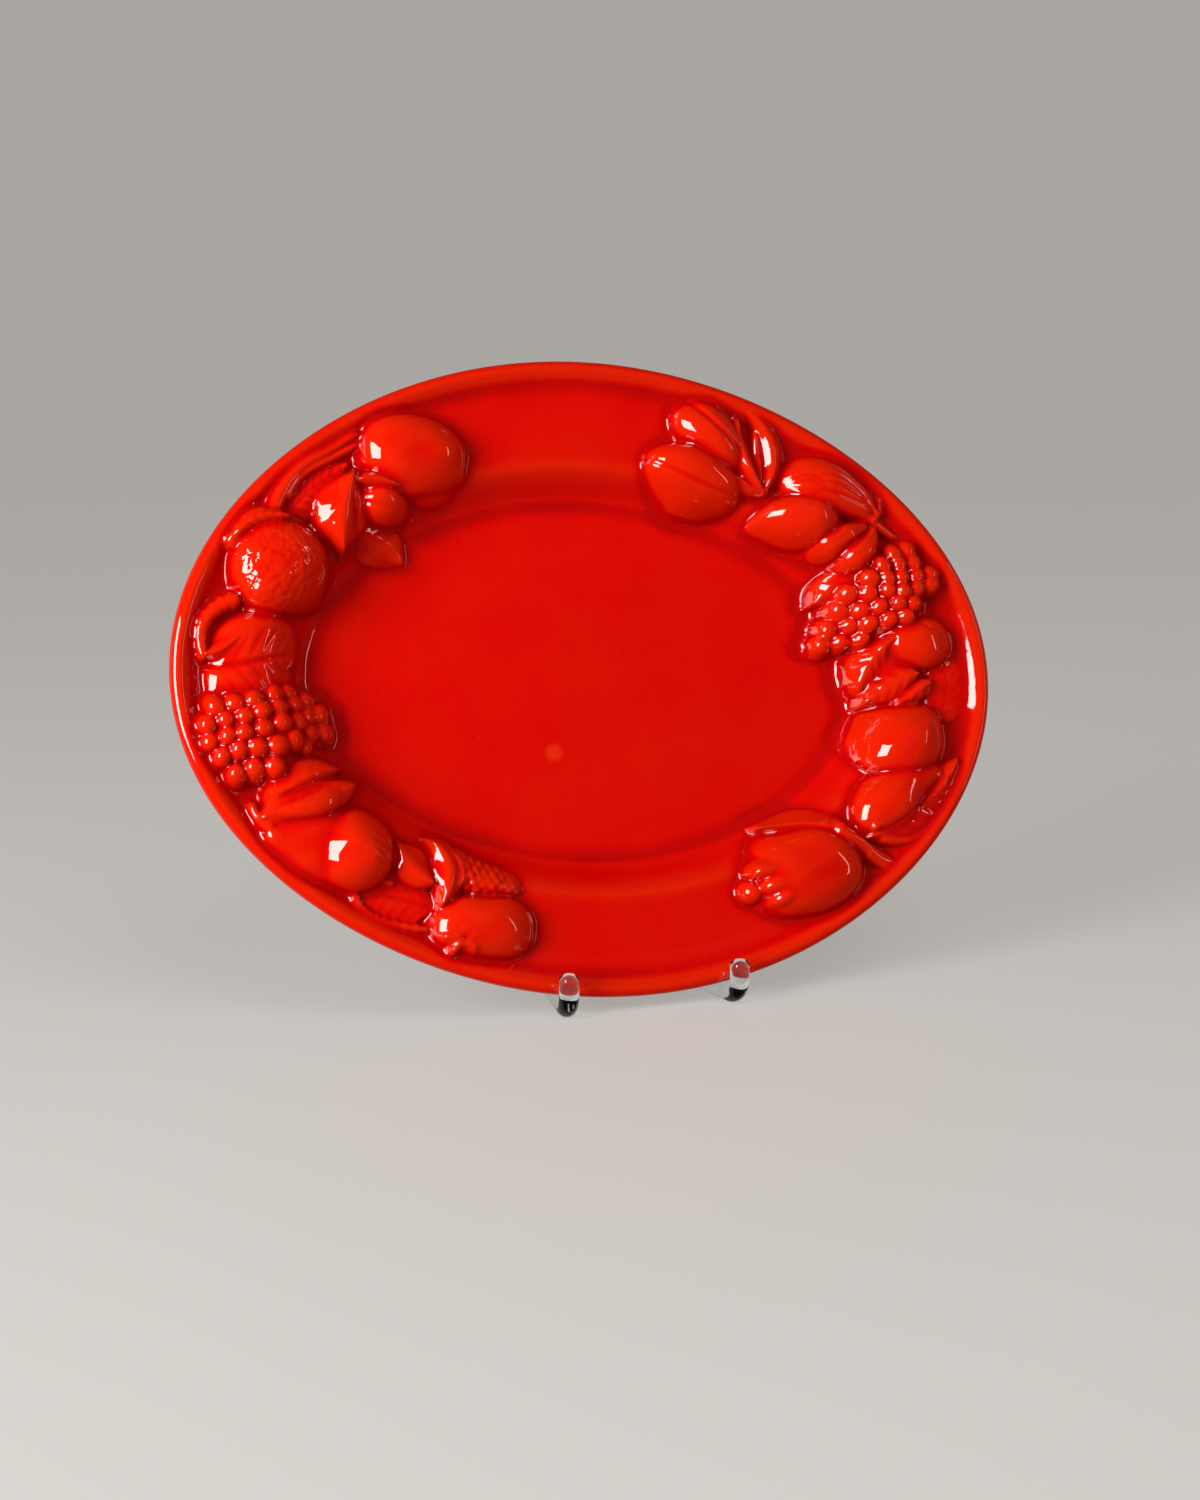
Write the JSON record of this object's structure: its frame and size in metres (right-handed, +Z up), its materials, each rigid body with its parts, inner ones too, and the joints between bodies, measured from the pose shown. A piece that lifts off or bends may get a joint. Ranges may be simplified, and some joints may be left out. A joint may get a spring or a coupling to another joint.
{
  "type": "decorative relief plate on stand",
  "caption": "Oval red glazed plate with fruit, leaves and grapes moulded in high relief round its border, leaning in a clear bent-rod display stand.",
  "frame": {"origin": "middle of the overall box at the surface the stand rests on", "axes": "+Z up, the plate's face looks towards -Y and leans back, +X to the right seen from the front"},
  "size_m": [0.4102, 0.1312, 0.3029],
  "materials": {
    "glaze": "glossy deep red glaze, slightly uneven",
    "clear_plastic": "polished clear plastic"
  },
  "bodies": {
    "root": {"plate": "glaze", "stand_rod_left": "clear_plastic", "stand_rod_right": "clear_plastic", "stand_bar_low": "clear_plastic", "stand_bar_high": "clear_plastic"}
  },
  "joints": []
}
